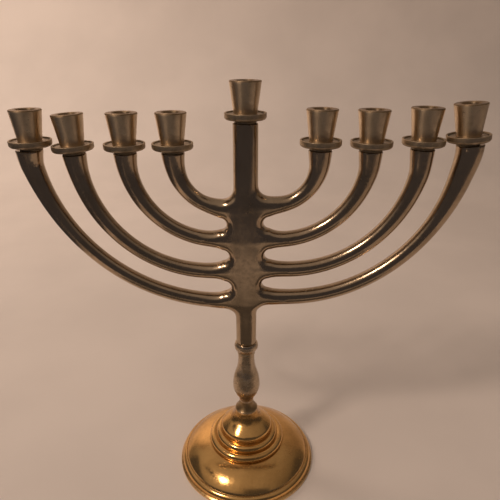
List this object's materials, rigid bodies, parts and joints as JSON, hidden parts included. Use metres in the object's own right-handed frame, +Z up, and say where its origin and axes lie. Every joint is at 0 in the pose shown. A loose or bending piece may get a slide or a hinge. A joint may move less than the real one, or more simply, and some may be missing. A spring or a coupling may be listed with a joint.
{
  "type": "menorah",
  "caption": "Nine-branch brass menorah with a turned base and stem, one branch casting, drip pans and screwed-on candle cups.",
  "frame": {"origin": "centre of the base's underside, on the surface it stands on", "axes": "+X along the row of candles to the right, +Y towards the back, +Z up along the column"},
  "size_m": [0.3025, 0.1084, 0.2967],
  "materials": {
    "base_brass": "polished, warm and golden, lightly scratched",
    "stem_brass": "polished, dulled",
    "branch_brass": "polished casting with brown tarnish in the corners",
    "pan_brass": "rough turned and tarnished brown",
    "cup_brass": "satin, turned, tarnished olive brown",
    "stud_brass": "threaded rod",
    "bolt_steel": "plain steel fastener"
  },
  "bodies": {
    "stand": {"base": "base_brass", "base_washer": "bolt_steel", "base_bolt": "bolt_steel", "stem": "stem_brass"},
    "column_stud": {"column_stud": "stud_brass"},
    "branches": {"branch_casting": "branch_brass", "drip_pan_left_four": "pan_brass", "drip_pan_left_three": "pan_brass", "drip_pan_left_two": "pan_brass", "drip_pan_left_one": "pan_brass", "drip_pan_middle": "pan_brass", "drip_pan_right_one": "pan_brass", "drip_pan_right_two": "pan_brass", "drip_pan_right_three": "pan_brass", "drip_pan_right_four": "pan_brass"},
    "cup_stud_left_four": {"cup_stud_left_four": "stud_brass"},
    "cup_left_four": {"cup_left_four": "cup_brass"},
    "cup_stud_left_three": {"cup_stud_left_three": "stud_brass"},
    "cup_left_three": {"cup_left_three": "cup_brass"},
    "cup_stud_left_two": {"cup_stud_left_two": "stud_brass"},
    "cup_left_two": {"cup_left_two": "cup_brass"},
    "cup_stud_left_one": {"cup_stud_left_one": "stud_brass"},
    "cup_left_one": {"cup_left_one": "cup_brass"},
    "cup_stud_middle": {"cup_stud_middle": "stud_brass"},
    "cup_middle": {"cup_middle": "cup_brass"},
    "cup_stud_right_one": {"cup_stud_right_one": "stud_brass"},
    "cup_right_one": {"cup_right_one": "cup_brass"},
    "cup_stud_right_two": {"cup_stud_right_two": "stud_brass"},
    "cup_right_two": {"cup_right_two": "cup_brass"},
    "cup_stud_right_three": {"cup_stud_right_three": "stud_brass"},
    "cup_right_three": {"cup_right_three": "cup_brass"},
    "cup_stud_right_four": {"cup_stud_right_four": "stud_brass"},
    "cup_right_four": {"cup_right_four": "cup_brass"}
  },
  "joints": [
    {"name": "branches_rise", "type": "slide", "parent": "stand", "child": "column_stud", "axis": [0, 0, 1], "range_m": [0, 0.015]},
    {"name": "branches_unscrew", "type": "hinge", "parent": "column_stud", "child": "branches", "pos_m": [0, 0, 0.1085], "axis": [0, 0, 1], "range_deg": [0, 4320]},
    {"name": "cup_left_four_rise", "type": "slide", "parent": "branches", "child": "cup_stud_left_four", "axis": [0, 0, 1], "range_m": [0, 0.0072]},
    {"name": "cup_left_four_unscrew", "type": "hinge", "parent": "cup_stud_left_four", "child": "cup_left_four", "pos_m": [-0.1379, 0, 0.2596], "axis": [0, 0, 1], "range_deg": [0, 3240]},
    {"name": "cup_left_three_rise", "type": "slide", "parent": "branches", "child": "cup_stud_left_three", "axis": [-0.0523, 0, 0.9986], "range_m": [0, 0.0072]},
    {"name": "cup_left_three_unscrew", "type": "hinge", "parent": "cup_stud_left_three", "child": "cup_left_three", "pos_m": [-0.11086, 0, 0.257], "axis": [-0.0523, 0, 0.9986], "range_deg": [0, 3240]},
    {"name": "cup_left_two_rise", "type": "slide", "parent": "branches", "child": "cup_stud_left_two", "axis": [0, 0, 1], "range_m": [0, 0.0072]},
    {"name": "cup_left_two_unscrew", "type": "hinge", "parent": "cup_stud_left_two", "child": "cup_left_two", "pos_m": [-0.0774, 0, 0.2579], "axis": [0, 0, 1], "range_deg": [0, 3240]},
    {"name": "cup_left_one_rise", "type": "slide", "parent": "branches", "child": "cup_stud_left_one", "axis": [0, 0, 1], "range_m": [0, 0.0072]},
    {"name": "cup_left_one_unscrew", "type": "hinge", "parent": "cup_stud_left_one", "child": "cup_left_one", "pos_m": [-0.0465, 0, 0.2583], "axis": [0, 0, 1], "range_deg": [0, 3240]},
    {"name": "cup_middle_rise", "type": "slide", "parent": "branches", "child": "cup_stud_middle", "axis": [0, 0, 1], "range_m": [0, 0.0072]},
    {"name": "cup_middle_unscrew", "type": "hinge", "parent": "cup_stud_middle", "child": "cup_middle", "pos_m": [0, 0, 0.2771], "axis": [0, 0, 1], "range_deg": [0, 3240]},
    {"name": "cup_right_one_rise", "type": "slide", "parent": "branches", "child": "cup_stud_right_one", "axis": [0, 0, 1], "range_m": [0, 0.0072]},
    {"name": "cup_right_one_unscrew", "type": "hinge", "parent": "cup_stud_right_one", "child": "cup_right_one", "pos_m": [0.0473, 0, 0.2607], "axis": [0, 0, 1], "range_deg": [0, 3240]},
    {"name": "cup_right_two_rise", "type": "slide", "parent": "branches", "child": "cup_stud_right_two", "axis": [0, 0, 1], "range_m": [0, 0.0072]},
    {"name": "cup_right_two_unscrew", "type": "hinge", "parent": "cup_stud_right_two", "child": "cup_right_two", "pos_m": [0.079, 0, 0.2603], "axis": [0, 0, 1], "range_deg": [0, 3240]},
    {"name": "cup_right_three_rise", "type": "slide", "parent": "branches", "child": "cup_stud_right_three", "axis": [0, 0, 1], "range_m": [0, 0.0072]},
    {"name": "cup_right_three_unscrew", "type": "hinge", "parent": "cup_stud_right_three", "child": "cup_right_three", "pos_m": [0.1111, 0, 0.2617], "axis": [0, 0, 1], "range_deg": [0, 3240]},
    {"name": "cup_right_four_rise", "type": "slide", "parent": "branches", "child": "cup_stud_right_four", "axis": [-0.0872, 0, 0.9962], "range_m": [0, 0.0072]},
    {"name": "cup_right_four_unscrew", "type": "hinge", "parent": "cup_stud_right_four", "child": "cup_right_four", "pos_m": [0.13807, 0, 0.2645], "axis": [-0.0872, 0, 0.9962], "range_deg": [0, 3240]}
  ],
  "couplings": [
    {"joint": "branches_rise", "follows": "branches_unscrew", "m_per_rad": 0.00019894},
    {"joint": "cup_left_four_rise", "follows": "cup_left_four_unscrew", "m_per_rad": 0.00012732},
    {"joint": "cup_left_three_rise", "follows": "cup_left_three_unscrew", "m_per_rad": 0.00012732},
    {"joint": "cup_left_two_rise", "follows": "cup_left_two_unscrew", "m_per_rad": 0.00012732},
    {"joint": "cup_left_one_rise", "follows": "cup_left_one_unscrew", "m_per_rad": 0.00012732},
    {"joint": "cup_middle_rise", "follows": "cup_middle_unscrew", "m_per_rad": 0.00012732},
    {"joint": "cup_right_one_rise", "follows": "cup_right_one_unscrew", "m_per_rad": 0.00012732},
    {"joint": "cup_right_two_rise", "follows": "cup_right_two_unscrew", "m_per_rad": 0.00012732},
    {"joint": "cup_right_three_rise", "follows": "cup_right_three_unscrew", "m_per_rad": 0.00012732},
    {"joint": "cup_right_four_rise", "follows": "cup_right_four_unscrew", "m_per_rad": 0.00012732}
  ]
}
